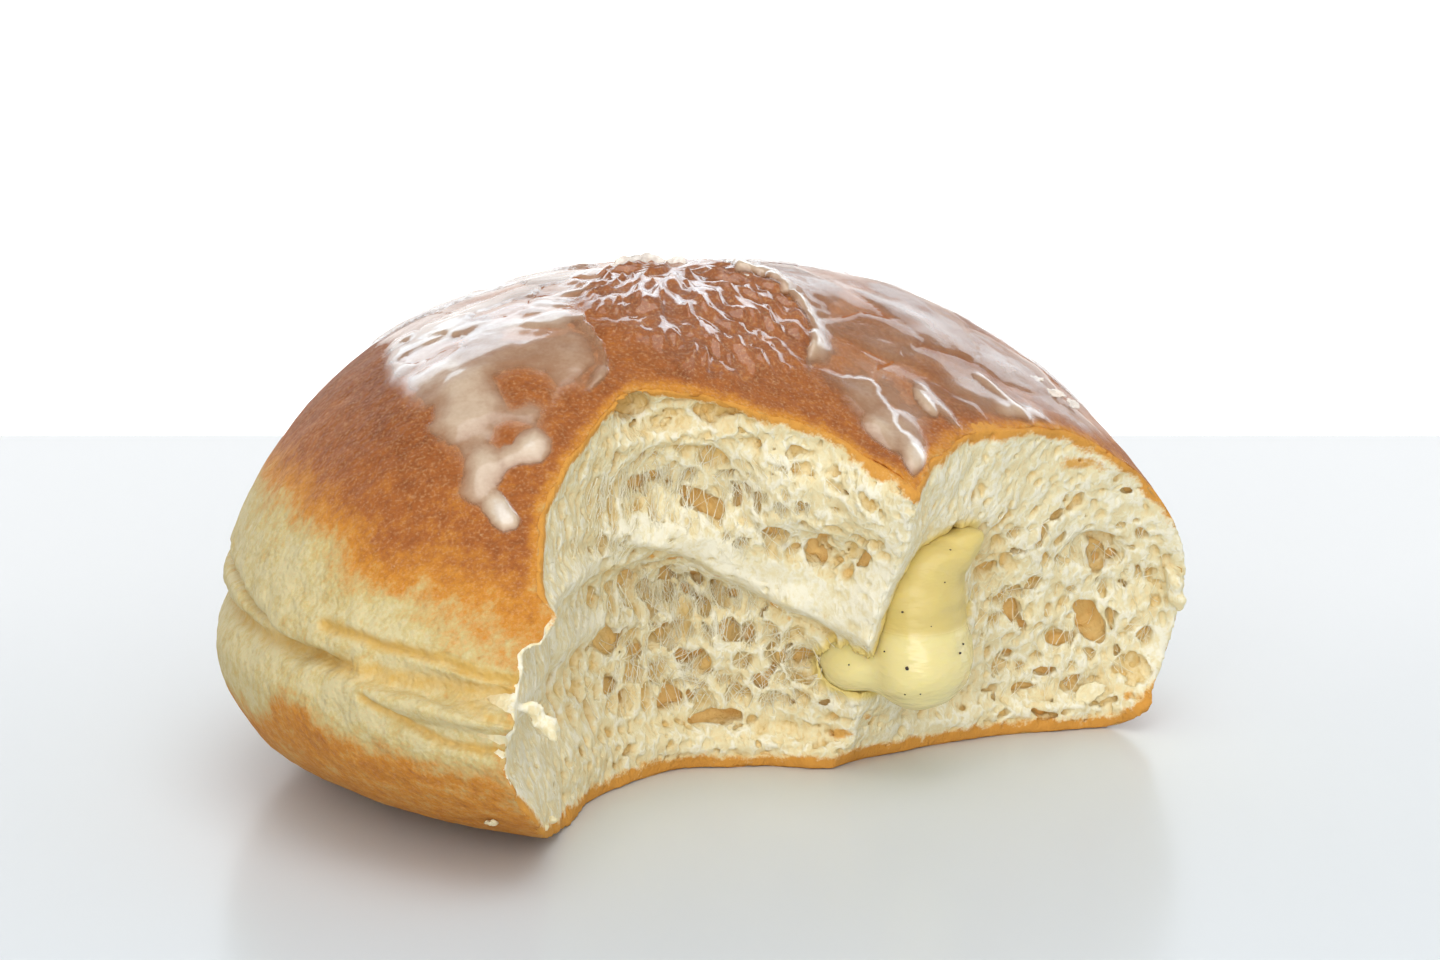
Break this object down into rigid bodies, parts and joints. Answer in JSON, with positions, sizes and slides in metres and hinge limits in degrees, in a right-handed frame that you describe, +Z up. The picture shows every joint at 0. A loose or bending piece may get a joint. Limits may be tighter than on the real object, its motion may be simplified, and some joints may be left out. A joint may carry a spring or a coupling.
{
  "type": "bitten filled doughnut",
  "caption": "Glazed doughnut with no hole, lying on its base, with bites out of its front and right side that show airy crumb and a custard filling.",
  "frame": {"origin": "bottom centre of the box around the bitten doughnut, on the surface that it lies on", "axes": "+Z up; -Y is the bitten front; +X is the right side as seen from that front"},
  "size_m": [0.0865, 0.0874, 0.0439],
  "materials": {
    "crust": "fried dough crust, orange brown and a little greasy, pale cream at the waist",
    "crumb": "airy cream-coloured crumb",
    "custard": "soft yellow custard with a wet shine",
    "glaze": "thin set sugar glaze, whitish and part see-through, cracked",
    "specks": "dark vanilla specks"
  },
  "bodies": {
    "root": {"dough": "crust", "custard": "custard"}
  },
  "joints": []
}
